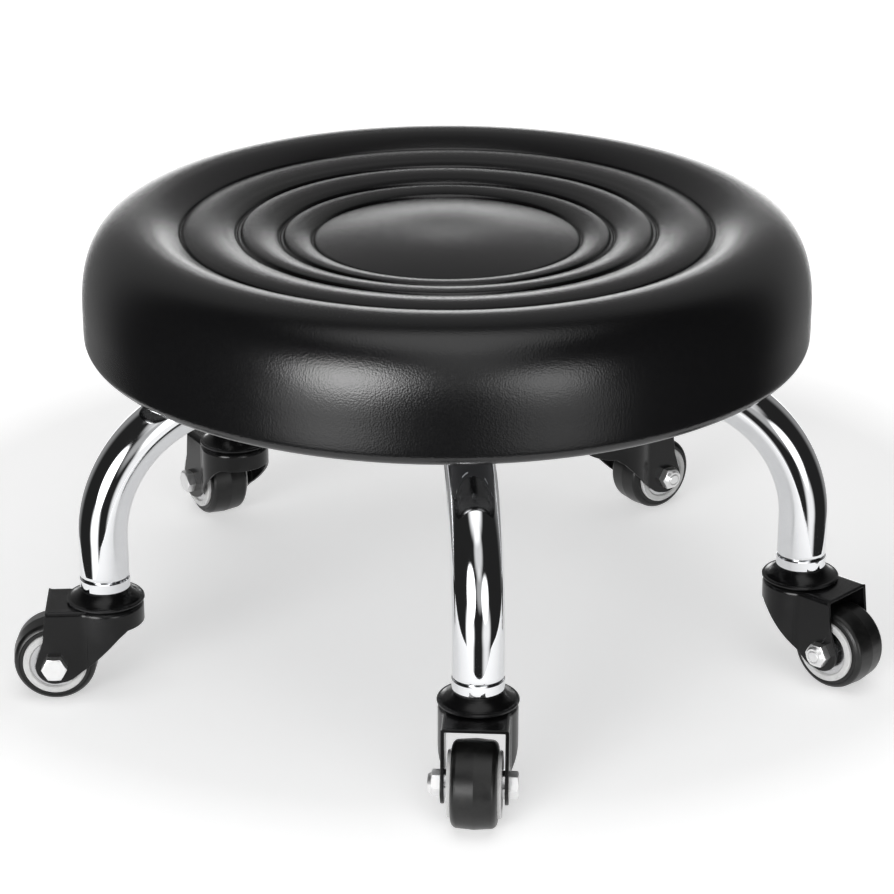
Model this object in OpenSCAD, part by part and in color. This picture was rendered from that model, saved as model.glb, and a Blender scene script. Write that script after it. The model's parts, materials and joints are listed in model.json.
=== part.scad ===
// Low pedicure stool: a round quilted seat that swivels on a frame of five bent tube legs,
// each leg standing on a swivel castor. Millimetres, +Z up.
// The origin is on the floor under the middle of the seat, and -Y is the front.

/* [Seat] */
// Radius of the seat cushion
seat_r = 164.5; // [150:0.5:180]
// Height of the cushion from its lower edge to the crest of the outer roll
cushion_h = 57.5; // [50:0.5:66]
// Width of the rounded upper edge, measured along the radius
edge_w = 25; // [20:0.5:28]
// Height of the rounded upper edge
edge_h = 37.6; // [30:0.2:40]
// Radii of the four round seams
seam_r = [119.3, 93.7, 74.6, 60.3]; // [50:0.1:130]
// Depth of each seam below the crest of the outer roll
seam_drop = [6.5, 8, 10.5, 11.5]; // [4:0.1:14]
// Thickness of the leather cover
cover_t = 1.2; // [0.8:0.1:2]
// Radius of the plywood seat board
board_r = 152; // [140:0.5:156]
// Thickness of the plywood seat board
board_t = 12; // [9:0.5:15]

/* [Frame] */
// Outside diameter of the leg tube
tube_d = 22; // [20:0.5:23]
// Wall thickness of the leg tube
tube_wall = 1.5; // [1:0.1:2.5]
// Radius of the circle that the upright ends of the legs stand on
leg_circle_r = 165.7; // [158:0.1:172]
// Radius of the bend in each leg, to the middle of the tube
leg_bend_r = 60; // [52:0.5:66]
// Height of the middle of each leg's level run
leg_run_z = 135.4; // [134:0.1:140]
// Height of the lower end of the leg tube
tube_end_z = 57.5; // [57.3:0.1:60]
// Direction of the front leg, in degrees from +X
front_leg_angle = -85.5; // [-90:0.5:-80]
// Diameter of the welded centre tube
hub_d = 44; // [42:1:60]

/* [Seat swivel] */
// Radius of the lower swivel plate
lower_plate_r = 50; // [46:0.5:52]
// Width of the square upper swivel plate
upper_plate_w = 120; // [116:1:130]
// Thickness of each swivel plate
plate_t = 2; // [1.5:0.1:2.5]
// Gap between the swivel plates
plate_gap = 3; // [2.8:0.1:3.4]
// Diameter of the swivel balls
swivel_ball_d = 4.2; // [4:0.1:4.4]

/* [Castors] */
// Diameter of the wheel
wheel_d = 38; // [36:0.5:40]
// Width of the tyre
tyre_w = 19.4; // [18:0.1:20]
// Distance from the swivel axis to the axle
castor_trail = 23.3; // [22:0.1:24.5]
// Outside width of the fork across its cheeks
fork_w = 28.4; // [27.6:0.1:30]
// Thickness of the fork's steel
fork_t = 1.6; // [1.2:0.1:2]
// Height of the fork's top face
fork_top_z = 45.4; // [44.5:0.1:45.6]
// Radius of the fork's round head
fork_head_r = 17; // [16.5:0.1:17.5]
// Diameter of the axle bolt
axle_d = 6; // [5:0.5:6]
// Size of the axle's hexagons across their flats
hex_af = 10; // [9:0.5:11]
// Direction in which castor 1 trails, in degrees from +X
castor_1_dir = -93.5; // [-180:0.5:180]
// Direction in which castor 2 trails
castor_2_dir = -43; // [-180:0.5:180]
// Direction in which castor 3 trails
castor_3_dir = 37; // [-180:0.5:180]
// Direction in which castor 4 trails
castor_4_dir = 120; // [-180:0.5:180]
// Direction in which castor 5 trails
castor_5_dir = -177; // [-180:0.5:180]

/* [Hidden] */
$fn = 64;
eps = 0.02;
legs = [1:5];
castor_dir = [castor_1_dir, castor_2_dir, castor_3_dir, castor_4_dir, castor_5_dir];

// Heights, from the legs upwards
tube_r = tube_d / 2;
// The hub stands a little above the legs
hub_rim = 0.6;
tube_top = leg_run_z + tube_r + hub_rim;
gap_z = tube_top + plate_t;
upper_plate_z = gap_z + plate_gap;
board_z = upper_plate_z + plate_t;
board_top = board_z + board_t;
cover_drop = 4.5;
seat_bottom = board_z - cover_drop;
seat_top = seat_bottom + cushion_h;
hub_r = hub_d / 2;
hub_wall = 3;
// The legs are let 2 mm into the hub
leg_start_x = hub_r - 2;
hub_h = 26;

// Cushion outline
edge_power = 2.3;
edge_steps = 14;
roll_crest_r = seat_r - edge_w;
ring_rise = 3.2;
panel_rise = 1.5;
lower_edge_r = 6.5;
under_r = 134;
dust_in_r = 86;
dust_out_r = 139;
dust_t = 0.6;

// Seat swivel
ball_circle_r = 42;
ball_clear = 0.1;
swivel_ball_count = 28;
bolt_half_pitch = 50;
seat_bolt_d = 6;
seat_bolt_head_d = 10.5;
seat_bolt_head_h = 2.6;
pivot_r = 6;
pivot_head_r = 11;
pivot_head_h = 2;
run_fit = 0.05;
loose_gap = 0.3;

// Castor mounting
insert_z = 52;
insert_r = tube_r + 0.2;
insert_top = tube_end_z - 0.4;
spigot_top = leg_run_z - leg_bend_r - 2;
stem_r = 5;
stem_shoulder_z = 47;
rivet_r = 4;
rivet_head_r = 7;
race_r = 11.2;
race_ball_d = 2.8;
race_ball_count = 16;
cap_r = 17.4;
cap_z = fork_top_z + 0.6;
cap_rim_h = 0.9;
flare_r = 12;
flare_top = 212;
flare_foot = 245;

// Fork
fork_half = fork_w / 2;
fork_blend_r = 8;
fork_rear_x = 26.5;
eye_r = 8.6;
wheel_r = wheel_d / 2;

// Wheel
core_r = 14.3;
core_half = 11.4;
bearing_r = 11;
bearing_w = 7;
bearing_in = 3.6;
sleeve_r = 4;
bolt_head_h = 4;
nut_h = 5.3;
bolt_end = fork_half + nut_h + 0.2;

function arc(cx, cy, r, a0, a1, n) =
    [for (i = [0:n]) [cx + r * cos(a0 + (a1 - a0) * i / n), cy + r * sin(a0 + (a1 - a0) * i / n)]];

function mix(a, b, t) = a + (b - a) * t;

// One puffed ring between two seams, from its inner seam to its outer one
function ring_arc(inner, outer, n) = [for (i = [0:n - 1]) let (t = i / n) [
    mix(seam_r[inner], seam_r[outer], t),
    seat_top - mix(seam_drop[inner], seam_drop[outer], t) + ring_rise * sqrt(sin(180 * t))
]];

// The cushion's upper surface and side, from the middle outwards and down
function cushion_line(inset) = concat(
    [for (t = [0:0.25:0.75]) [
        seam_r[3] * t,
        seat_top - inset - seam_drop[3] + panel_rise * (1 - t * t)
    ]],
    [for (p = ring_arc(3, 2, 8)) [p[0], p[1] - inset]],
    [for (p = ring_arc(2, 1, 8)) [p[0], p[1] - inset]],
    [for (p = ring_arc(1, 0, 8)) [p[0], p[1] - inset]],
    [for (a = [0:15:75]) [
        roll_crest_r - (roll_crest_r - seam_r[0]) * cos(a),
        seat_top - inset - seam_drop[0] * (1 - sin(a))
    ]],
    [for (i = [0:edge_steps]) let (a = 90 * i / edge_steps) [
        roll_crest_r + (edge_w - inset) * pow(sin(a), 2 / edge_power),
        seat_top - edge_h + (edge_h - inset) * pow(cos(a), 2 / edge_power)
    ]],
    arc(seat_r - lower_edge_r, seat_bottom + lower_edge_r, lower_edge_r - inset, 0, -90, 6)
);

// The cover's turned-under hem, from the lower edge inwards
function hem_line(inset) = [
    [board_r - 2 + inset / 4, seat_bottom + inset],
    [board_r - 8 + inset / 3, board_z - cover_t + inset],
    [under_r, board_z - cover_t + inset]
];

module seat_cover() {
    inner = concat(cushion_line(cover_t), hem_line(cover_t));
    outer = concat(cushion_line(0), hem_line(0));
    color([0.07, 0.07, 0.075])
        rotate_extrude()
            polygon(concat(outer, [for (i = [len(inner) - 1:-1:0]) inner[i]]));
}

module seat_foam() {
    color([0.85, 0.8, 0.62])
        rotate_extrude()
            polygon(concat(
                cushion_line(cover_t),
                [hem_line(cover_t)[0], hem_line(cover_t)[1]],
                [[board_r, board_z], [board_r, board_top], [0, board_top]]
            ));
}

module seat_bolt_places() {
    for (x = [-bolt_half_pitch, bolt_half_pitch], y = [-bolt_half_pitch, bolt_half_pitch])
        translate([x, y, 0])
            children();
}

module seat_board() {
    tee_r = 9.75;
    color([0.72, 0.55, 0.36])
        difference() {
            translate([0, 0, board_z]) cylinder(r=board_r, h=board_t);
            // recess over the swivel's pivot head
            translate([0, 0, board_z - 1]) cylinder(r=15, h=5);
            seat_bolt_places() {
                translate([0, 0, board_z - 1]) cylinder(r=4, h=board_t + 2);
                translate([0, 0, board_top - 1.3]) cylinder(r=tee_r, h=2);
            }
        }
}

module dust_cover() {
    color([0.1, 0.1, 0.1])
        translate([0, 0, board_z - cover_t - dust_t])
            difference() {
                cylinder(r=dust_out_r, h=dust_t);
                translate([0, 0, -1]) cylinder(r=dust_in_r, h=dust_t + 2);
            }
}

module cover_staples() {
    staple_count = 24;
    staple_w = 10;
    wire = 0.7;
    leg_h = 7;
    color("silver")
        for (i = [0:staple_count - 1])
            rotate([0, 0, i * 360 / staple_count])
                translate([dust_out_r - 3, 0, board_z - cover_t - dust_t]) {
                    translate([-wire / 2, -staple_w / 2, -wire]) cube([wire, staple_w, wire]);
                    for (side = [-staple_w / 2, staple_w / 2 - wire])
                        translate([-wire / 2, side, -wire]) cube([wire, wire, leg_h]);
                }
}

// Square plate with rounded corners, its true arcs kept
module rounded_plate(w, r, h) {
    translate([-w / 2 + r, -w / 2, 0]) cube([w - 2 * r, w, h]);
    translate([-w / 2, -w / 2 + r, 0]) cube([w, w - 2 * r, h]);
    for (x = [-1, 1], y = [-1, 1])
        translate([x * (w / 2 - r), y * (w / 2 - r), 0])
            cylinder(r=r, h=h);
}

// The ring that the swivel balls sweep, with their running clearance
module ball_groove() {
    translate([0, 0, gap_z + plate_gap / 2])
        rotate_extrude()
            translate([ball_circle_r, 0])
                circle(r=swivel_ball_d / 2 + ball_clear);
}

module upper_swivel_plate() {
    color("silver")
        difference() {
            translate([0, 0, upper_plate_z]) rounded_plate(upper_plate_w, 10, plate_t);
            ball_groove();
            translate([0, 0, upper_plate_z - 1]) cylinder(r=pivot_r + run_fit, h=plate_t + 2);
            seat_bolt_places()
                translate([0, 0, upper_plate_z - 1])
                    cylinder(r=seat_bolt_d / 2 + 0.2, h=plate_t + 2);
        }
}

module lower_swivel_plate() {
    color("silver")
        difference() {
            translate([0, 0, tube_top]) cylinder(r=lower_plate_r, h=plate_t);
            ball_groove();
            translate([0, 0, tube_top - 1]) cylinder(r=pivot_r, h=plate_t + 2);
        }
}

module swivel_balls() {
    color("white")
        for (i = [0:swivel_ball_count - 1])
            rotate([0, 0, i * 360 / swivel_ball_count])
                translate([ball_circle_r, 0, gap_z + plate_gap / 2])
                    sphere(d=swivel_ball_d);
}

module swivel_pivot() {
    color("gray") {
        translate([0, 0, tube_top - pivot_head_h]) cylinder(r=pivot_head_r, h=pivot_head_h);
        translate([0, 0, tube_top - eps]) cylinder(r=pivot_r, h=board_z + loose_gap - tube_top + 0.5);
        translate([0, 0, board_z + loose_gap])
            cylinder(r1=pivot_head_r, r2=pivot_head_r - 1.5, h=pivot_head_h);
    }
}

module seat_bolts() {
    color("silver")
        seat_bolt_places() {
            translate([0, 0, upper_plate_z - seat_bolt_head_h])
                difference() {
                    cylinder(r1=seat_bolt_head_d / 2 - 1.6, r2=seat_bolt_head_d / 2, h=seat_bolt_head_h);
                    translate([0, 0, -1]) cylinder(d=4 / cos(30), h=2.8, $fn=6);
                }
            translate([0, 0, upper_plate_z - eps])
                cylinder(d=seat_bolt_d, h=plate_t + board_t - 1);
        }
}

module tee_nuts() {
    color("silver")
        seat_bolt_places()
            difference() {
                union() {
                    translate([0, 0, board_top - 1.25]) cylinder(r=9.5, h=1.2);
                    translate([0, 0, board_top - 10]) cylinder(r=3.9, h=8.8);
                }
                translate([0, 0, board_top - 11]) cylinder(d=seat_bolt_d, h=12);
            }
}

// The leg's tube, solid, to a given radius, in the leg's own plane with the hub at X = 0
module leg_rod(r, overrun) {
    bend_x = leg_circle_r - leg_bend_r;
    bend_z = leg_run_z - leg_bend_r;
    translate([leg_start_x - overrun, 0, leg_run_z])
        rotate([0, 90, 0])
            cylinder(r=r, h=bend_x - leg_start_x + overrun);
    translate([bend_x, 0, bend_z])
        rotate([90, 0, 0])
            rotate_extrude(angle=90)
                translate([leg_bend_r, 0])
                    circle(r=r);
    translate([leg_circle_r, 0, tube_end_z - overrun])
        cylinder(r=r, h=bend_z - tube_end_z + overrun);
}

module leg_frame(i) {
    rotate([0, 0, front_leg_angle + 72 * (i - 1)])
        children();
}

module leg(i) {
    break_r = 0.8;
    color([0.8, 0.81, 0.83])
        leg_frame(i)
            difference() {
                leg_rod(tube_r, 0);
                leg_rod(tube_r - tube_wall, 1);
                // rounded lower edge of the cut tube
                translate([leg_circle_r, 0, tube_end_z - eps])
                    rotate_extrude()
                        polygon(concat(
                            [[tube_r + 1, -1], [tube_r - break_r, -1]],
                            arc(tube_r - break_r, break_r, break_r, -90, 0, 4),
                            [[tube_r + 1, break_r]]
                        ));
            }
}

module hub() {
    bead = 1.6;
    weld_start = hub_r - 4.5;
    weld_end = hub_r + 3.5;
    color([0.78, 0.79, 0.81]) {
        difference() {
            union() {
                translate([0, 0, tube_top - hub_h]) cylinder(r=hub_r, h=hub_h);
                // weld fillet round each leg
                for (i = legs)
                    leg_frame(i)
                        translate([weld_start, 0, leg_run_z])
                            rotate([0, 90, 0])
                                cylinder(r1=tube_r + bead, r2=tube_r + 0.2, h=weld_end - weld_start);
            }
            // socket for the end of each leg
            for (i = legs)
                leg_frame(i)
                    translate([leg_start_x, 0, leg_run_z])
                        rotate([0, 90, 0])
                            cylinder(r=tube_r, h=hub_r);
            translate([0, 0, tube_top - hub_h - 5]) cylinder(r=hub_r - hub_wall, h=hub_h + 10);
            translate([-hub_d, -hub_d, tube_top]) cube([2 * hub_d, 2 * hub_d, 10]);
        }
    }
}

module at_leg_end(i) {
    leg_frame(i)
        translate([leg_circle_r, 0, 0])
            children();
}

module leg_inserts() {
    break_r = 0.5;
    color([0.85, 0.86, 0.88])
        for (i = legs)
            at_leg_end(i)
                rotate_extrude()
                    polygon([
                        [stem_r, insert_z],
                        [insert_r - break_r, insert_z],
                        [insert_r, insert_z + break_r],
                        [insert_r, insert_top - break_r],
                        [insert_r - break_r, insert_top],
                        [tube_r - tube_wall, insert_top],
                        [tube_r - tube_wall, spigot_top - 1],
                        [tube_r - tube_wall - 1, spigot_top],
                        [stem_r, spigot_top]
                    ]);
}

module castor_stems() {
    color("silver")
        for (i = legs)
            at_leg_end(i)
                rotate_extrude()
                    polygon([
                        [0, fork_top_z - fork_t - 3.6],
                        [rivet_head_r - 2.5, fork_top_z - fork_t - 3.6],
                        [rivet_head_r, fork_top_z - fork_t - 1.8],
                        [rivet_head_r, fork_top_z - fork_t - loose_gap],
                        [rivet_r, fork_top_z - fork_t - loose_gap],
                        [rivet_r, stem_shoulder_z],
                        [stem_r, stem_shoulder_z],
                        [stem_r, spigot_top - 4],
                        [stem_r - 1, spigot_top - 3],
                        [0, spigot_top - 3]
                    ]);
}

module race_balls() {
    color("white")
        for (i = legs)
            at_leg_end(i)
                for (k = [0:race_ball_count - 1])
                    rotate([0, 0, k * 360 / race_ball_count])
                        translate([race_r, 0, fork_top_z + ball_clear + race_ball_d / 2])
                            sphere(d=race_ball_d, $fn=32);
}

module stem_cap(i) {
    race_top = fork_top_z + 2 * ball_clear + race_ball_d;
    color([0.1, 0.1, 0.1])
        at_leg_end(i)
            rotate_extrude()
                polygon(concat(
                    [
                        [cap_r - 2, cap_z],
                        [cap_r - 0.3, cap_z],
                        [cap_r, cap_z + 0.3],
                        [cap_r, cap_z + cap_rim_h],
                        [cap_r - 0.4, cap_z + cap_rim_h + 0.5]
                    ],
                    arc(
                        tube_r - flare_r * cos(flare_top),
                        insert_z - flare_r * sin(flare_top),
                        flare_r, flare_foot, flare_top, 6
                    ),
                    [
                        [stem_r, insert_z],
                        [stem_r, race_top],
                        [race_r + 2, race_top]
                    ]
                ));
}

// Each castor is drawn trailing along +X from its swivel axis, then turned and placed
module at_castor(i) {
    a = front_leg_angle + 72 * (i - 1);
    translate([leg_circle_r * cos(a), leg_circle_r * sin(a), 0])
        rotate([0, 0, castor_dir[i - 1]])
            children();
}

// The pressed fork seen from above, set in by the given amount and ending at the given X:
// a round head, a hollow blend on each side, and straight cheeks
function fork_plan(inset, rear) = let (
    blend_y = fork_half + fork_blend_r,
    blend_x = sqrt(pow(fork_head_r + fork_blend_r, 2) - pow(blend_y, 2)),
    touch = atan2(blend_y, blend_x),
    half = fork_half - inset,
    blend = fork_blend_r + inset,
    turn = (90 - touch) / 6
) concat(
    arc(0, 0, fork_head_r - inset, touch, 360 - touch, 32),
    arc(blend_x, -blend_y, blend, 180 - touch - turn, 90, 5),
    [[rear, -half], [rear, half]],
    arc(blend_x, blend_y, blend, -90, touch - 180 + turn, 5)
);

// The fork's outline from the side, X along the trail: skirt, cheek and rounded eye
module fork_side() {
    polygon(concat(
        [
            [-fork_head_r - 1, fork_top_z + 1],
            [fork_rear_x, fork_top_z + 1],
            [fork_rear_x, fork_top_z - 0.5],
            [castor_trail + 4.8, wheel_r + 12]
        ],
        arc(castor_trail, wheel_r, eye_r, 6, -100, 10),
        [
            [castor_trail - 5.5, wheel_r - 7.6],
            [castor_trail - 8, wheel_r - 6.4],
            [castor_trail - 15, wheel_r - 0.8],
            [castor_trail - 21.5, wheel_r + 5.7],
            [castor_trail - 29.5, wheel_r + 13.7],
            [castor_trail - 33.4, wheel_r + 16.6],
            [-fork_head_r - 1, wheel_r + 16.6]
        ]
    ));
}

module fork(i) {
    reach = castor_trail + eye_r + 4;
    color([0.08, 0.08, 0.085])
        at_castor(i)
            difference() {
                intersection() {
                    difference() {
                        linear_extrude(fork_top_z)
                            polygon(fork_plan(0, reach));
                        translate([0, 0, -1])
                            linear_extrude(fork_top_z - fork_t + 1)
                                polygon(fork_plan(fork_t, reach + 2));
                    }
                    translate([0, fork_w, 0])
                        rotate([90, 0, 0])
                            linear_extrude(2 * fork_w)
                                fork_side();
                }
                translate([0, 0, fork_top_z - 6]) cylinder(r=rivet_r + run_fit, h=8);
                translate([castor_trail, fork_w, wheel_r])
                    rotate([90, 0, 0])
                        cylinder(d=axle_d, h=2 * fork_w);
            }
}

// Turns a shape drawn along +Z so that it lies along the axle, +Z becoming +Y
module on_axle(i) {
    at_castor(i)
        translate([castor_trail, 0, wheel_r])
            rotate([-90, 0, 0])
                children();
}

// Hexagon with its outer corners rounded off by a cone
module hex_head(af, h) {
    intersection() {
        cylinder(d=af / cos(30), h=h, $fn=6);
        cylinder(r1=af / 2 + h * 1.7, r2=af / 2 * 0.96, h=h);
    }
}

module axle_bolt(i) {
    color("silver")
        on_axle(i) {
            translate([0, 0, fork_half]) hex_head(hex_af, bolt_head_h);
            translate([0, 0, -bolt_end + 0.8])
                cylinder(d=axle_d, h=bolt_end + fork_half);
            translate([0, 0, -bolt_end])
                cylinder(d1=axle_d - 1.4, d2=axle_d, h=0.8);
        }
}

module axle_nut(i) {
    hex_h = 3.9;
    color("silver")
        on_axle(i)
            rotate([180, 0, 0])
                translate([0, 0, fork_half])
                    difference() {
                        union() {
                            hex_head(hex_af, hex_h);
                            translate([0, 0, hex_h - eps])
                                cylinder(
                                    r1=hex_af / 2 - 0.3,
                                    r2=hex_af / 2 - 1.2,
                                    h=nut_h - hex_h + eps
                                );
                        }
                        translate([0, 0, -1]) cylinder(d=axle_d, h=nut_h + 2);
                    }
}

module ring(r_in, r_out, z0, z1) {
    translate([0, 0, z0])
        difference() {
            cylinder(r=r_out, h=z1 - z0);
            translate([0, 0, -1]) cylinder(r=r_in, h=z1 - z0 + 2);
        }
}

module axle_spacers(i) {
    inner = fork_half - fork_t;
    washer_r = 6.2;
    washer_z = bearing_in + bearing_w + 0.15;
    color("silver")
        on_axle(i) {
            ring(axle_d / 2, sleeve_r, -inner, inner);
            for (side = [0, 1])
                mirror([0, 0, side])
                    ring(sleeve_r, washer_r, washer_z, inner);
        }
}

module tyre(i) {
    half = tyre_w / 2;
    shoulder = 3;
    crown = 0.5;
    groove_r = wheel_r * 0.87;
    color([0.06, 0.06, 0.06])
        on_axle(i)
            rotate_extrude($fn=96)
                polygon(concat(
                    [[core_r, half]],
                    [[groove_r - 0.6, half], [groove_r - 0.3, half - 0.35], [groove_r, half - 0.35]],
                    arc(wheel_r - crown - shoulder, half - shoulder, shoulder, 75, 15, 5),
                    [[wheel_r, 0]],
                    arc(wheel_r - crown - shoulder, shoulder - half, shoulder, -15, -75, 5),
                    [[groove_r, 0.35 - half], [groove_r - 0.3, 0.35 - half], [groove_r - 0.6, -half]],
                    [[core_r, -half]]
                ));
}

module wheel_core(i) {
    land_r = 9.5;
    lip = 0.6;
    half_line = [
        [land_r, 0],
        [land_r, bearing_in],
        [bearing_r, bearing_in],
        [bearing_r, core_half - lip],
        [bearing_r + lip, core_half],
        [core_r - lip, core_half],
        [core_r, core_half - lip]
    ];
    color([0.85, 0.85, 0.83])
        on_axle(i)
            rotate_extrude()
                polygon(concat(
                    half_line,
                    [for (k = [len(half_line) - 1:-1:1]) [half_line[k][0], -half_line[k][1]]]
                ));
}

module bearings(i) {
    inner_r = sleeve_r + run_fit;
    inner_out = 5.7;
    outer_in = 9.3;
    pitch_r = (inner_out + outer_in) / 2;
    shield = 0.5;
    color("silver")
        on_axle(i)
            for (side = [0, 1])
                mirror([0, 0, side])
                    translate([0, 0, bearing_in]) {
                        ring(inner_r, inner_out, 0, bearing_w);
                        ring(outer_in, bearing_r, 0, bearing_w);
                        ring(inner_out + 0.2, outer_in + eps, bearing_w - 0.4 - shield, bearing_w - 0.4);
                        for (k = [0:6])
                            rotate([0, 0, k * 360 / 7])
                                translate([pitch_r, 0, bearing_w / 2])
                                    sphere(d=outer_in - inner_out - 0.1, $fn=32);
                    }
}

seat_cover();
seat_foam();
seat_board();
dust_cover();
cover_staples();
upper_swivel_plate();
seat_bolts();
tee_nuts();
hub();
lower_swivel_plate();
swivel_balls();
swivel_pivot();
leg_inserts();
castor_stems();
race_balls();
for (i = legs) {
    leg(i);
    stem_cap(i);
    fork(i);
    axle_bolt(i);
    axle_nut(i);
    axle_spacers(i);
    tyre(i);
    wheel_core(i);
    bearings(i);
}
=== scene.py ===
"""The looks of a low pedicure stool: a quilted round seat on five chromed legs with swivel castors.

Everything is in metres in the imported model's frame: +Z up, the floor at Z = 0, the front towards -Y.
"""
import json
import math

import bmesh
import bpy
import numpy as np
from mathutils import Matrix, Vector


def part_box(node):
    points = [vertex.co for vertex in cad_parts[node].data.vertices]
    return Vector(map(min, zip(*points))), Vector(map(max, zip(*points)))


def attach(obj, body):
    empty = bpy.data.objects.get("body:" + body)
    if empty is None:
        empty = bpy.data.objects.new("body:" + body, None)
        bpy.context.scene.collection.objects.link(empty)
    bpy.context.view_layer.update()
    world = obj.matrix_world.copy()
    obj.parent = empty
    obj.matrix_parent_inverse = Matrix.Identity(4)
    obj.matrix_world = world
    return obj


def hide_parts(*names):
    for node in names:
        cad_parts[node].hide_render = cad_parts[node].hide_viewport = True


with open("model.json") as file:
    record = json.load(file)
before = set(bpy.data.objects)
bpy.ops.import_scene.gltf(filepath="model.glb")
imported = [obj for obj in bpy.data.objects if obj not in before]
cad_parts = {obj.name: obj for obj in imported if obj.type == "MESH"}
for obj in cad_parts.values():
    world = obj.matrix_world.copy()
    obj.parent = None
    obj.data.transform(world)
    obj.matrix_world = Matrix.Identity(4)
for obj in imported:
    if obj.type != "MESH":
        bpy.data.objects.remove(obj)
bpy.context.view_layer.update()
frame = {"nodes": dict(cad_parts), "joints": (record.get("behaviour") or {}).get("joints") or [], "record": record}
nodes = frame["nodes"]
joints = {j["name"]: j for j in frame["joints"]}
scene = bpy.context.scene
MM = 0.001
LEGS = range(1, 6)
# A length below this counts as nothing
TINY = 1e-9


# ---------------------------------------------------------------- camera

def make_camera():
    """Stands in front of the stool and looks down on it."""
    data = bpy.data.cameras.new("camera")
    data.lens = 122.0
    data.sensor_width = 36.0
    cam = bpy.data.objects.new("camera", data)
    cam.location = (0, -1.2996, 0.6166)
    cam.rotation_euler = (math.radians(68.07), 0, 0)
    scene.collection.objects.link(cam)
    scene.camera = cam


make_camera()


# ---------------------------------------------------------------- helpers

def smooth_object(name, mesh):
    mesh.polygons.foreach_set("use_smooth", [True] * len(mesh.polygons))
    obj = bpy.data.objects.new(name, mesh)
    scene.collection.objects.link(obj)
    return obj


def mesh_object(name, verts, faces):
    mesh = bpy.data.meshes.new(name)
    mesh.from_pydata([tuple(v) for v in verts], [], faces)
    mesh.validate()
    mesh.update()
    return smooth_object(name, mesh)


def revolve(line, segments):
    """Vertices and faces of a line of (radius, height) points turned about Z, with a pole at radius 0."""
    verts, faces, rows = [], [], []
    for r, z in line:
        if r <= TINY:
            rows.append([len(verts)])
            verts.append((0.0, 0.0, z))
            continue
        start = len(verts)
        rows.append(list(range(start, start + segments)))
        for k in range(segments):
            a = 2 * math.pi * k / segments
            verts.append((r * math.cos(a), r * math.sin(a), z))
    for low, high in zip(rows, rows[1:]):
        for k in range(segments):
            n = (k + 1) % segments
            if len(low) == 1 and len(high) > 1:
                faces.append((low[0], high[n], high[k]))
            elif len(high) == 1 and len(low) > 1:
                faces.append((low[k], low[n], high[0]))
            elif len(low) > 1:
                faces.append((low[k], low[n], high[n], high[k]))
    return verts, faces


# ---------------------------------------------------------------- materials

class Nodes:
    """A short way to build a material's node tree."""

    def __init__(self, name):
        self.mat = bpy.data.materials.new(name)
        self.mat.use_nodes = True
        self.tree = self.mat.node_tree
        self.bsdf = self.tree.nodes["Principled BSDF"]
        self.coords = self.tree.nodes.new("ShaderNodeTexCoord").outputs["Object"]

    def add(self, kind, inputs=(), **settings):
        node = self.tree.nodes.new(kind)
        for key, value in settings.items():
            setattr(node, key, value)
        for key, value in dict(inputs).items():
            if isinstance(value, bpy.types.NodeSocket):
                self.tree.links.new(value, node.inputs[key])
            else:
                node.inputs[key].default_value = value
        return node

    def stretched(self, scale):
        return self.add("ShaderNodeMapping", {"Vector": self.coords, "Scale": scale}).outputs["Vector"]

    def noise(self, scale, detail=3.0, rough=0.5, vector=None):
        inputs = {"Vector": vector or self.coords, "Scale": scale, "Detail": detail, "Roughness": rough}
        return self.add("ShaderNodeTexNoise", inputs).outputs["Fac"]

    def cells(self, scale):
        return self.add("ShaderNodeTexVoronoi", {"Vector": self.coords, "Scale": scale}).outputs["Distance"]

    def spread(self, value, low, high, from_low=0.0, from_high=1.0):
        """Goes from low to high while the value goes from from_low to from_high."""
        inputs = {
            "Value": value, "From Min": from_low, "From Max": from_high,
            "To Min": low, "To Max": high,
        }
        return self.add("ShaderNodeMapRange", inputs).outputs["Result"]

    def math(self, operation, a, b):
        node = self.add("ShaderNodeMath", {0: a, 1: b}, operation=operation)
        return node.outputs["Value"]

    def colour(self, factor, dark, light):
        node = self.add("ShaderNodeMix", {0: factor, 6: (*dark, 1), 7: (*light, 1)}, data_type="RGBA")
        return node.outputs[2]

    def blend(self, factor, under, over):
        node = self.add("ShaderNodeMix", {0: factor, 6: under, 7: (*over, 1)}, data_type="RGBA")
        return node.outputs[2]

    def bump(self, height, distance, strength):
        inputs = {"Height": height, "Distance": distance, "Strength": strength}
        return self.add("ShaderNodeBump", inputs).outputs["Normal"]

    def edges(self, low, high):
        """0 on flat surfaces, rising to 1 along outer edges."""
        point = self.add("ShaderNodeNewGeometry").outputs["Pointiness"]
        return self.spread(point, 0.0, 1.0, low, high)

    def shade(self, **inputs):
        for key, value in inputs.items():
            socket = self.bsdf.inputs[key.replace("_", " ")]
            if isinstance(value, bpy.types.NodeSocket):
                self.tree.links.new(value, socket)
            else:
                socket.default_value = value
        return self.mat


def black_leather():
    n = Nodes("black_leather")
    pebbles = n.cells(1300.0)
    creases = n.noise(1500.0, 4.0, 0.6)
    waves = n.noise(9.0, 2.0)
    grain = n.math("ADD", n.math("MULTIPLY", pebbles, 0.8), n.math("MULTIPLY", creases, 0.2))
    rough = n.math("ADD", n.spread(creases, 0.18, 0.25, 0.3, 0.7), n.spread(waves, -0.02, 0.03, 0.3, 0.7))
    tint = n.colour(n.spread(grain, 0, 1, 0.2, 0.9), (0.0025, 0.0025, 0.0028), (0.0055, 0.0055, 0.0058))
    return n.shade(
        Base_Color=tint, Roughness=rough, Specular_IOR_Level=0.5,
        Normal=n.bump(grain, 0.1 * MM, 0.6),
    )


def chrome():
    n = Nodes("chrome")
    smears = n.noise(60.0, 5.0, 0.65)
    ripple = n.noise(35.0, 1.0)
    tint = n.colour(smears, (0.72, 0.73, 0.745), (0.83, 0.835, 0.845))
    return n.shade(
        Base_Color=tint, Metallic=1.0, Roughness=n.spread(smears, 0.025, 0.085, 0.35, 0.75),
        Normal=n.bump(ripple, 0.06 * MM, 0.25),
    )


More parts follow.
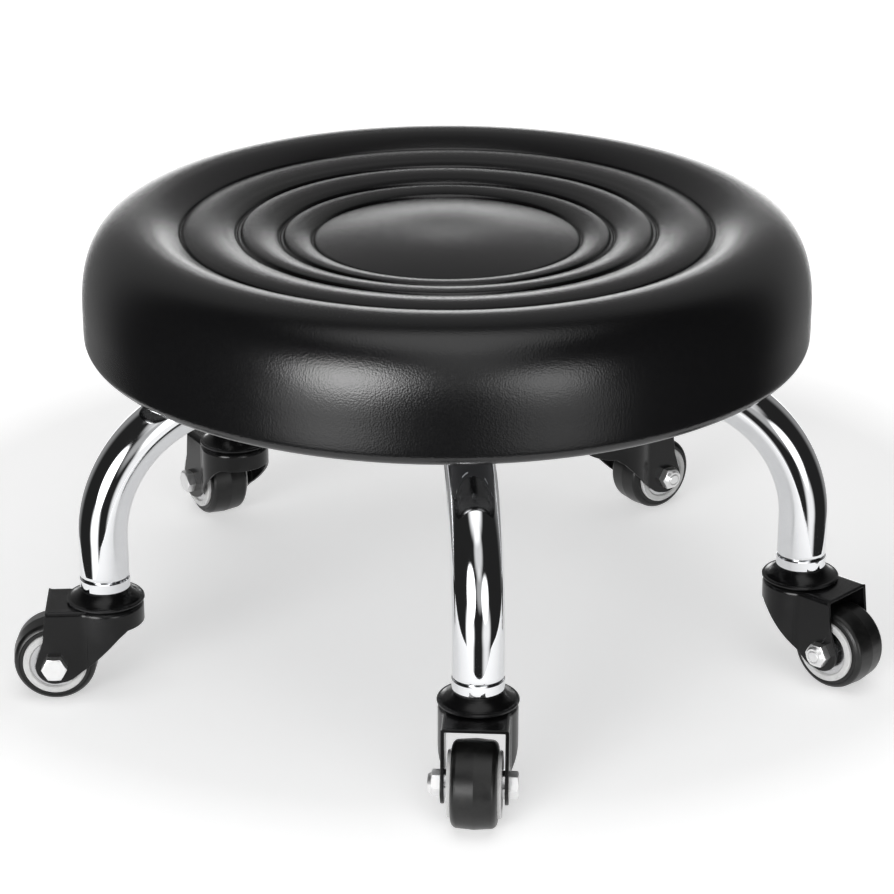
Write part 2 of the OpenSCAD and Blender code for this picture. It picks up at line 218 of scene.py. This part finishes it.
def black_steel():
    n = Nodes("black_steel")
    speckle = n.noise(900.0, 3.0, 0.6)
    patches = n.noise(70.0, 4.0)
    worn = n.edges(0.515, 0.56)
    tint = n.blend(
        n.math("MULTIPLY", worn, n.spread(patches, 0.1, 0.8, 0.4, 0.65)),
        n.colour(patches, (0.0015, 0.0015, 0.0016), (0.0035, 0.0035, 0.0037)), (0.03, 0.03, 0.031),
    )
    return n.shade(
        Base_Color=tint, Roughness=n.spread(patches, 0.17, 0.26, 0.3, 0.7), Specular_IOR_Level=0.28,
        Normal=n.bump(speckle, 0.05 * MM, 0.35),
    )


def black_tyre():
    n = Nodes("black_tyre")
    grain = n.noise(1400.0, 3.0, 0.6)
    scuffs = n.noise(140.0, 5.0, 0.7)
    tint = n.colour(n.spread(scuffs, 0, 1, 0.45, 0.75), (0.004, 0.004, 0.004), (0.011, 0.011, 0.0105))
    return n.shade(
        Base_Color=tint, Roughness=n.spread(scuffs, 0.28, 0.42, 0.35, 0.7), Specular_IOR_Level=0.4,
        Normal=n.bump(grain, 0.04 * MM, 0.3),
    )


def white_nylon():
    n = Nodes("white_nylon")
    grime = n.noise(260.0, 4.0, 0.6)
    tint = n.colour(grime, (0.40, 0.40, 0.40), (0.56, 0.56, 0.555))
    return n.shade(
        Base_Color=tint, Roughness=n.spread(grime, 0.25, 0.42, 0.3, 0.7),
        Normal=n.bump(n.noise(1200.0), 0.03 * MM, 0.3),
    )


def bare_steel(name, base, rough, scale):
    n = Nodes(name)
    brushed = n.noise(scale, 4.0, 0.6, n.stretched((1, 1, 6)))
    stains = n.noise(200.0, 3.0)
    tint = n.colour(stains, tuple(c * 0.86 for c in base), base)
    return n.shade(
        Base_Color=tint, Metallic=1.0, Roughness=n.spread(brushed, rough * 0.75, rough * 1.4, 0.3, 0.7),
        Normal=n.bump(brushed, 0.03 * MM, 0.3),
    )


def plywood():
    n = Nodes("plywood")
    rings = n.noise(14.0, 6.0, 0.6, n.stretched((1, 9, 30)))
    tint = n.colour(n.spread(rings, 0, 1, 0.3, 0.7), (0.42, 0.28, 0.16), (0.66, 0.50, 0.32))
    return n.shade(
        Base_Color=tint, Roughness=n.spread(rings, 0.6, 0.8),
        Normal=n.bump(rings, 0.2 * MM, 0.4),
    )


def foam():
    n = Nodes("foam")
    pores = n.cells(1100.0)
    tint = n.colour(pores, (0.55, 0.47, 0.30), (0.78, 0.70, 0.50))
    return n.shade(
        Base_Color=tint, Roughness=n.spread(pores, 0.85, 0.95),
        Normal=n.bump(pores, 0.4 * MM, 0.8),
    )


def dust_cloth():
    n = Nodes("dust_cloth")
    threads = n.noise(700.0, 3.0, 0.7, n.stretched((1, 4, 1)))
    tint = n.colour(threads, (0.010, 0.010, 0.011), (0.034, 0.034, 0.036))
    return n.shade(
        Base_Color=tint, Roughness=n.spread(threads, 0.8, 0.95),
        Normal=n.bump(threads, 0.3 * MM, 0.7),
    )


finishes = {
    "black_leather": black_leather(),
    "foam": foam(),
    "plywood": plywood(),
    "dust_cloth": dust_cloth(),
    "chrome_tube": chrome(),
    "zinc_steel": bare_steel("zinc_steel", (0.62, 0.63, 0.65), 0.34, 500.0),
    "bolt_steel": bare_steel("bolt_steel", (0.90, 0.90, 0.90), 0.36, 900.0),
    "bearing_steel": bare_steel("bearing_steel", (0.60, 0.60, 0.61), 0.2, 900.0),
    "black_steel": black_steel(),
    "black_tyre": black_tyre(),
    "white_nylon": white_nylon(),
}
for part in frame["record"]["subparts"]:
    carried = nodes[part["node"]]
    carried.data.materials.clear()
    carried.data.materials.append(finishes[part["material_slot"]])


# ---------------------------------------------------------------- seat cushion

seat_lo, seat_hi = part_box("seat_cover")
board_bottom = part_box("seat_board")[0].z
SEAT_R = seat_hi.x
SEAT_TOP = seat_hi.z
SEAT_BOTTOM = seat_lo.z

SECTIONS = [
    (60.3 * MM, 11.6 * MM, False, 4.6 * MM, 0.8 * MM),
    (74.6 * MM, 10.4 * MM, True, 1.5 * MM, 0.1 * MM),
    (93.7 * MM, 7.8 * MM, True, 1.8 * MM, 0.2 * MM),
    (119.3 * MM, 6.3 * MM, False, 2.0 * MM, 0.4 * MM),
]
# Rows of points are closer together within this of a seam
SEAM_REACH = 2.8 * MM
# The cover starts this far inside the CAD seat, to leave room for its swell
SLACK = 0.2 * MM
# The outer side of the roll, from its crest to the upright wall: a superellipse about EDGE_LENGTH long
EDGE_W = 25 * MM
EDGE_H = 37.6 * MM
EDGE_POWER = 2.3
EDGE_LENGTH = 58 * MM
CREST_R = SEAT_R - EDGE_W
# The slopes of the rings and of the roll beside their inner seams, and how softly each rounds over
RING_SLOPE, RING_SOFTNESS = 0.5, 0.5 * MM
ROLL_SLOPE, ROLL_SOFTNESS = 0.54, 0.9 * MM
# The power that a ring's outer half falls with towards its outer seam
RING_FALL = 14
LOWER_R = 6.5 * MM
HEM_R = 134 * MM
COVER_T = 1.2 * MM
# Points round the seat, and the steps along its outline away from seams and beside them: first in the
# simulation, then in the finished cushion
COARSE_TURN, COARSE_STEP, COARSE_SEAM_STEP = 120, 3.0 * MM, 1.4 * MM
FINE_TURN, FINE_STEP, FINE_SEAM_STEP = 320, 0.9 * MM, 0.25 * MM
CLOTH_FRAMES = 20
# The furthest that the simulation may move a point
MOST_SWELL = 3.0 * MM
# The cover is stretched tight, so only its longest waves round the seat stay
LONG_WAVES = 8
# Where each part of the cover's outline starts, counted in stations from the middle of the top
SEAMS, CREST, WALL, LOWER_EDGE, TUCK = (1, 2, 3, 4), 5, 6, 7, 9


def spaced(start, end, step, near_start, near_end, seam_step):
    """Stops from start up to but not including end, seam_step apart within reach of a seam."""
    first = start + (SEAM_REACH if near_start else 0)
    last = end - (SEAM_REACH if near_end else 0)
    stops = list(np.arange(start, first - seam_step / 2, seam_step))
    stops += list(np.linspace(first, last, max(2, round((last - first) / step)), endpoint=False))
    stops += list(np.arange(last, end - seam_step / 2, seam_step))
    return stops


def shoulder(distance, height, slope, softness):
    """How high the padding has climbed at a distance out from a seam: a slope that rounds over to level."""
    return height - slope * softness * math.log(1 + math.exp((height / slope - distance) / softness))


def slack_outline(step, seam_step):
    """The cover's outline before the padding swells, from the middle of the top to under the board.

    Each row is (station, radius, height). A station is the section's number plus how far across it the
    row is, so that outlines with different steps can be matched. Seams are at stations 1, 2, 3 and 4.
    """
    rows = []
    r0, drop0 = 0.0, SECTIONS[0][1]
    for number, (r1, drop1, _, rise, _) in enumerate(SECTIONS):
        for r in spaced(r0, r1, step, number > 0, True, seam_step):
            t = (r - r0) / (r1 - r0)
            if number == 0:
                puff = rise * (1 - t ** 2)
            elif t > 0.5:
                puff = rise * (1 - (2 * t - 1) ** RING_FALL)
            else:
                puff = shoulder(r - r0, rise, RING_SLOPE, RING_SOFTNESS)
            rows.append((number + t, r, SEAT_TOP - SLACK - drop0 - (drop1 - drop0) * t + puff))
        r0, drop0 = r1, drop1
    for r in spaced(r0, CREST_R - SLACK, step, True, False, seam_step):
        t = (r - r0) / (CREST_R - SLACK - r0)
        puff = shoulder(r - r0, drop0, ROLL_SLOPE, ROLL_SOFTNESS)
        rows.append((SEAMS[-1] + t, r, SEAT_TOP - SLACK - drop0 + puff))
    for t in np.linspace(0, 1, round(EDGE_LENGTH / step)):
        a = math.pi / 2 * t
        rows.append((
            CREST + t,
            CREST_R - SLACK + EDGE_W * math.sin(a) ** (2 / EDGE_POWER),
            SEAT_TOP - EDGE_H + (EDGE_H - SLACK) * math.cos(a) ** (2 / EDGE_POWER),
        ))
    side_top = SEAT_TOP - EDGE_H
    side_end = SEAT_BOTTOM + LOWER_R
    for t in (0.25, 0.5, 0.75):
        rows.append((WALL + t, SEAT_R - SLACK, side_top + (side_end - side_top) * t))
    for t in np.linspace(0, 1, 9):
        a = math.pi / 2 * t
        rows.append((
            LOWER_EDGE + t,
            SEAT_R - SLACK - LOWER_R + LOWER_R * math.cos(a),
            SEAT_BOTTOM + LOWER_R - LOWER_R * math.sin(a),
        ))
    under = board_bottom - COVER_T
    tuck = [
        (154 * MM, SEAT_BOTTOM), (150 * MM, SEAT_BOTTOM + 0.1 * MM), (147 * MM, SEAT_BOTTOM + 1.6 * MM),
        (144 * MM, under), (139 * MM, under), (HEM_R, under), (HEM_R, board_bottom), (0.0, board_bottom),
    ]
    rows += [(TUCK + k, r, z) for k, (r, z) in enumerate(tuck)]
    return np.array(rows)


def simulated_swell(rows):
    """Blows the cover up between its seams as cloth: (outward, upward) for each row and turn."""
    verts, faces = revolve(rows[:, 1:], COARSE_TURN)
    pad = mesh_object("slack_cover", verts, [f[::-1] for f in faces])
    before = np.array(verts)
    first = np.array([0] + [1 + COARSE_TURN * k for k in range(len(rows) - 1)])
    pins = pad.vertex_groups.new(name="sewn")
    for row, (station, _, _) in enumerate(rows):
        if station >= LOWER_EDGE or station in SEAMS:
            start = int(first[row])
            pins.add(range(start, min(start + COARSE_TURN, len(verts))), 1.0, "REPLACE")
    cloth = pad.modifiers.new("cloth", "CLOTH")
    settings = cloth.settings
    settings.quality = 6
    settings.vertex_group_mass = "sewn"
    settings.use_pressure = True
    settings.uniform_pressure_force = 14
    settings.effector_weights.gravity = 0
    settings.tension_stiffness = 4
    settings.compression_stiffness = 4
    settings.shear_stiffness = 2
    settings.bending_stiffness = 0.3
    settings.tension_damping = 15
    settings.compression_damping = 15
    cloth.collision_settings.use_collision = False
    for moment in range(1, CLOTH_FRAMES + 1):
        scene.frame_set(moment)
    blown = pad.evaluated_get(bpy.context.evaluated_depsgraph_get()).to_mesh()
    after = np.empty(len(verts) * 3)
    blown.vertices.foreach_get("co", after)
    after = after.reshape(-1, 3)
    move = after - before
    size = np.linalg.norm(move, axis=1, keepdims=True)
    move *= np.minimum(1, MOST_SWELL / np.maximum(size, TINY))
    turn = np.arange(COARSE_TURN) * 2 * math.pi / COARSE_TURN
    swell = np.zeros((len(rows), COARSE_TURN, 2))
    for row in range(len(rows)):
        if rows[row, 1] <= TINY:
            swell[row, :, 1] = move[first[row], 2]
            continue
        ring = move[first[row]:first[row] + COARSE_TURN]
        swell[row, :, 0] = ring[:, 0] * np.cos(turn) + ring[:, 1] * np.sin(turn)
        swell[row, :, 1] = ring[:, 2]
    bpy.data.objects.remove(pad)
    scene.frame_set(1)
    return swell


def between(stations, known, values):
    """A smooth curve through values at the known stations, read at other stations."""
    slope = np.gradient(values, known, axis=0)
    k = np.clip(np.searchsorted(known, stations, side="right") - 1, 0, len(known) - 2)
    gap = (known[k + 1] - known[k])[:, None, None]
    t = (stations - known[k])[:, None, None] / gap
    return (
        values[k] * (1 + 2 * t) * (1 - t) ** 2 + slope[k] * gap * t * (1 - t) ** 2
        + values[k + 1] * t * t * (3 - 2 * t) + slope[k + 1] * gap * t * t * (t - 1)
    )


def seam_dip(r):
    """How far the seams pull the cover in at a radius, with a cord standing in the two corded ones."""
    valley_depth, valley_reach = 1.5 * MM, 1.35 * MM
    cord_height, cord_reach = 1.1 * MM, 0.5 * MM
    plain_depth, plain_reach = 1.0 * MM, 0.7 * MM
    dip = 0.0
    for seam_r, _, corded, _, _ in SECTIONS:
        away = r - seam_r
        if corded:
            dip += valley_depth * math.exp(-((away / valley_reach) ** 4))
            dip -= cord_height * math.exp(-((away / cord_reach) ** 2))
        else:
            dip += plain_depth * math.exp(-((away / plain_reach) ** 2))
    return dip


def make_cushion():
    """The padded seat: a fine outline turned about Z, with the coarse one's swell and the seams added."""
    coarse = slack_outline(COARSE_STEP, COARSE_SEAM_STEP)
    fine = slack_outline(FINE_STEP, FINE_SEAM_STEP)
    swell = simulated_swell(coarse)
    swell = between(fine[:, 0], coarse[:, 0], swell)
    waves = np.fft.rfft(swell, axis=1)
    waves[:, LONG_WAVES:] = 0
    swell = np.fft.irfft(waves, n=FINE_TURN, axis=1) * (FINE_TURN / COARSE_TURN)
    verts, faces = revolve(fine[:, 1:], FINE_TURN)
    place = 0
    for row, (station, r, _) in enumerate(fine):
        dip = seam_dip(r) if station < CREST else 0.0
        for k in range(FINE_TURN if r > TINY else 1):
            x, y, z = verts[place]
            outward, upward = swell[row, k]
            grow = 1 + outward / r if r > TINY else 1
            verts[place] = (x * grow, y * grow, z + upward - dip)
            place += 1
    cushion = mesh_object("seat_cushion", verts, [f[::-1] for f in faces])
    cushion.data.materials.append(finishes["black_leather"])
    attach(cushion, "seat")
    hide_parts("seat_cover", "seat_foam")


make_cushion()


# ---------------------------------------------------------------- underside cloth

def make_dust_cloth():
    """A ring of thin cloth stapled under the board, a little loose between its staples."""
    lo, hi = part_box("dust_cover")
    outer = hi.x
    inner = 86 * MM
    staple_r = 136 * MM
    staple_reach = 9 * MM
    staples = 24
    half_thick = 0.15 * MM
    sag = 0.35 * MM
    ripple = 0.25 * MM
    folds = 5
    twist = 40
    turns = 240
    rings = 26
    middle = (lo.z + hi.z) / 2
    verts = []
    for side in (half_thick, -half_thick):
        for k in range(rings + 1):
            r = inner + (outer - inner) * k / rings
            held = math.exp(-abs(r - staple_r) / staple_reach)
            for n in range(turns):
                a = 2 * math.pi * n / turns
                pucker = sag * held * (math.cos(staples * a) - 1)
                drape = (1 - held) * (ripple * math.sin(folds * a + twist * r / outer) - sag)
                verts.append((r * math.cos(a), r * math.sin(a), middle + side + pucker + drape))
    sheet_size = (rings + 1) * turns
    faces = []
    for k in range(rings):
        for n in range(turns):
            m = (n + 1) % turns
            a, b, c, d = k * turns + n, (k + 1) * turns + n, (k + 1) * turns + m, k * turns + m
            faces += [(a, b, c, d), (sheet_size + d, sheet_size + c, sheet_size + b, sheet_size + a)]
    for n in range(turns):
        m = (n + 1) % turns
        edge = rings * turns
        faces.append((n, m, sheet_size + m, sheet_size + n))
        faces.append((edge + m, edge + n, sheet_size + edge + n, sheet_size + edge + m))
    cloth = mesh_object("dust_cloth", verts, faces)
    cloth.data.materials.append(finishes["dust_cloth"])
    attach(cloth, "seat")
    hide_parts("dust_cover")


make_dust_cloth()


# ---------------------------------------------------------------- legs

TUBE_R = 11 * MM
TUBE_T = 1.5 * MM
BEND_R = 60 * MM
# How far out the tube starts, inside the hub's wall
TUBE_START = 20 * MM
# The rounding of the tube's lower end, and how far up its open end is hollow
RIM_R = 0.8 * MM
OPEN_DEPTH = 6 * MM


def make_leg(number):
    """One chromed tube: level under the seat, bent through a right angle, then upright to its castor."""
    lo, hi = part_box(f"leg_{number}")
    stem = Vector(joints[f"castor_swivel_{number}"]["pos_m"])
    out = Vector((stem.x, stem.y, 0))
    reach = out.length
    out.normalize()
    level_z = hi.z - TUBE_R
    level_points, bend_steps, upright_points, rim_steps, turns = 24, 64, 14, 4, 72
    path = []
    for t in np.linspace(0, 1, level_points):
        path.append((TUBE_START + (reach - BEND_R - TUBE_START) * t, level_z, 0.0))
    for k in range(1, bend_steps + 1):
        a = math.pi / 2 * k / bend_steps
        path.append((reach - BEND_R + BEND_R * math.sin(a), level_z - BEND_R + BEND_R * math.cos(a), a))
    for t in np.linspace(0, 1, upright_points)[1:]:
        path.append((reach, level_z - BEND_R + (lo.z + RIM_R - level_z + BEND_R) * t, math.pi / 2))
    loops = [(p, TUBE_R) for p in path]
    for k in range(1, rim_steps + 1):
        a = math.pi / 2 * k / rim_steps
        end = (reach, lo.z + RIM_R - RIM_R * math.sin(a), math.pi / 2)
        loops.append((end, TUBE_R - RIM_R * (1 - math.cos(a))))
    loops.append(((reach, lo.z, math.pi / 2), TUBE_R - TUBE_T))
    loops.append(((reach, lo.z + OPEN_DEPTH, math.pi / 2), TUBE_R - TUBE_T))
    verts, faces = [], []
    for (along, z, lean), r in loops:
        for n in range(turns):
            a = 2 * math.pi * n / turns
            side = r * math.cos(a)
            up = r * math.sin(a)
            place = out * (along + up * math.sin(lean)) + Vector((-out.y, out.x, 0)) * side
            verts.append((place.x, place.y, z + up * math.cos(lean)))
    for k in range(len(loops) - 1):
        for n in range(turns):
            m = (n + 1) % turns
            faces.append((k * turns + n, k * turns + m, (k + 1) * turns + m, (k + 1) * turns + n))
    leg = mesh_object(f"leg_tube_{number}", verts, faces)
    leg.data.materials.append(finishes["chrome_tube"])
    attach(leg, "base")
    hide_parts(f"leg_{number}")


for number in LEGS:
    make_leg(number)


# ---------------------------------------------------------------- castor forks

def make_fork(number):
    """The pressed fork with its folded edges rounded: wide round the top, narrow everywhere else."""
    cad = nodes[f"fork_{number}"]
    top_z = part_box(f"fork_{number}")[1].z
    wide = 2.4 * MM
    narrow = 0.4 * MM
    fold = math.radians(40)
    stem_hole_r = 8 * MM
    near = 0.05 * MM
    rear_band = 0.3 * MM
    mesh = bpy.data.meshes.new(f"pressed_fork_{number}")
    form = bmesh.new()
    form.from_mesh(cad.data)
    bmesh.ops.transform(form, matrix=cad.matrix_world, verts=form.verts)
    bmesh.ops.remove_doubles(form, verts=form.verts, dist=0.005 * MM)
    bmesh.ops.dissolve_limit(form, angle_limit=math.radians(0.5), verts=form.verts, edges=form.edges)
    weight = form.edges.layers.float.new("bevel_weight_edge")
    stem = Vector(joints[f"castor_swivel_{number}"]["pos_m"])
    back = Vector(joints[f"wheel_spin_{number}"]["pos_m"]) - stem
    back = Vector((back.x, back.y, 0)).normalized()
    rear = max(back.dot(v.co - stem) for v in form.verts if abs(v.co.z - top_z) < near)
    for edge in form.edges:
        edge[weight] = 0.0
        if len(edge.link_faces) == 2 and edge.calc_face_angle(0) > fold:
            on_top = all(abs(v.co.z - top_z) < near for v in edge.verts)
            outside = all(math.hypot(v.co.x - stem.x, v.co.y - stem.y) > stem_hole_r for v in edge.verts)
            at_rear = all(back.dot(v.co - stem) > rear - rear_band for v in edge.verts)
            edge[weight] = 1.0 if on_top and outside and not at_rear else narrow / wide
    form.to_mesh(mesh)
    form.free()
    fork = smooth_object(f"pressed_fork_{number}", mesh)
    bevel = fork.modifiers.new("folded_edges", "BEVEL")
    bevel.limit_method = "WEIGHT"
    bevel.width = wide
    bevel.segments = 4
    bevel.use_clamp_overlap = False
    fork.modifiers.new("even_shading", "WEIGHTED_NORMAL")
    fork.data.materials.append(finishes["black_steel"])
    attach(fork, f"castor_{number}")
    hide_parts(f"fork_{number}")


for number in LEGS:
    make_fork(number)


# ---------------------------------------------------------------- studio

# Reflections see the floor only within this radius; past it they see the dark room
REFLECTED_R = 0.30
ROOM_R = 7.0
FLOOR_TURNS = 96
DOME_TURNS = 48
# The brightness of the room where no light stands
DIM = 0.02


def floor_ring(name, inner, outer):
    """A flat ring on the floor, or a whole disc where inner is 0."""
    verts, faces = revolve([(inner, 0.0), (outer, 0.0)], FLOOR_TURNS)
    return mesh_object(name, verts, faces)


def floor_glow_with_painted_shade():
    """White, with a glow that grows away from a place a little behind the stool's middle; the weaker glow near the
    stool is painted shade on the floor around and under it.
    """
    n = Nodes("floor_glow_with_painted_shade")
    middle = (0.0, 0.10, 0.0)
    measure = n.add("ShaderNodeVectorMath", {0: n.coords, 1: middle}, operation="DISTANCE")
    distance = measure.outputs["Value"]
    # The glow is weaker within reach of the stool: painted shade on the floor around and under it
    return n.shade(
        Base_Color=(0.8, 0.8, 0.8, 1), Roughness=1.0, Specular_IOR_Level=0.0,
        Emission_Color=(1, 1, 1, 1), Emission_Strength=n.spread(distance, 0.48, 0.92, 0.27, 0.40),
    )


# Soft lights by direction: azimuth from behind the stool (90 is to the right) and elevation, in degrees,
# the angles from the light's middle where it starts and finishes fading, and its brightness
SOFTBOXES = [
    (-150, 9, 5, 21, 11.0),
    (-144, -16, 6, 22, 2.0),
    (150, 7, 4, 18, 3.8),
    (146, -16, 6, 22, 1.1),
    (180, 74, 10, 32, 1.5),
    (172, 40, 8, 22, 0.8),
    (172, 14, 6, 18, 0.45),
    (0, -7, 8, 23, 3.0),
    (0, 8, 45, 72, 0.28),
]


def make_world():
    """A dark studio with soft lights in front, above and behind, and a wide faint glow behind the stool."""
    world = bpy.data.worlds.new("studio")
    world.use_nodes = True
    tree = world.node_tree
    way = tree.nodes.new("ShaderNodeTexCoord").outputs["Generated"]
    total = None
    for azimuth, elevation, full, faded, glow in SOFTBOXES:
        a = math.radians(azimuth)
        e = math.radians(elevation)
        towards = (math.sin(a) * math.cos(e), math.cos(a) * math.cos(e), math.sin(e))
        facing = tree.nodes.new("ShaderNodeVectorMath")
        facing.operation = "DOT_PRODUCT"
        facing.inputs[1].default_value = towards
        tree.links.new(way, facing.inputs[0])
        box = tree.nodes.new("ShaderNodeMapRange")
        box.interpolation_type = "SMOOTHSTEP"
        tree.links.new(facing.outputs["Value"], box.inputs["Value"])
        box.inputs["From Min"].default_value = math.cos(math.radians(faded))
        box.inputs["From Max"].default_value = math.cos(math.radians(full))
        box.inputs["To Max"].default_value = glow
        both = tree.nodes.new("ShaderNodeMath")
        both.inputs[0].default_value = DIM
        if total is not None:
            tree.links.new(total, both.inputs[0])
        tree.links.new(box.outputs["Result"], both.inputs[1])
        total = both.outputs["Value"]
    tree.links.new(total, tree.nodes["Background"].inputs["Strength"])
    tree.nodes["Background"].inputs["Color"].default_value = (1, 1, 1, 1)
    scene.world = world


def make_studio():
    """A pale floor that glows, less near the stool as painted shade around it, and a pale dome that only the
    camera sees.
    """
    near = floor_ring("floor_near", 0.0, REFLECTED_R)
    far = floor_ring("floor_far", REFLECTED_R, ROOM_R)
    far.visible_glossy = False
    far.visible_shadow = False
    for piece in (near, far):
        piece.data.materials.append(floor_glow_with_painted_shade())
    half_turn = np.linspace(-math.pi / 2, math.pi / 2, DOME_TURNS // 2 + 1)
    line = [(ROOM_R * math.cos(a), ROOM_R * math.sin(a)) for a in half_turn]
    verts, faces = revolve(line, DOME_TURNS)
    dome = mesh_object("backdrop", verts, faces)
    dome.data.materials.append(Nodes("backdrop").shade(
        Base_Color=(0, 0, 0, 1), Specular_IOR_Level=0.0,
        Emission_Color=(1, 1, 1, 1), Emission_Strength=0.9,
    ))
    for ray in ("diffuse", "glossy", "transmission", "volume_scatter", "shadow"):
        setattr(dome, f"visible_{ray}", False)
    make_world()
    scene.view_settings.view_transform = "Standard"


make_studio()
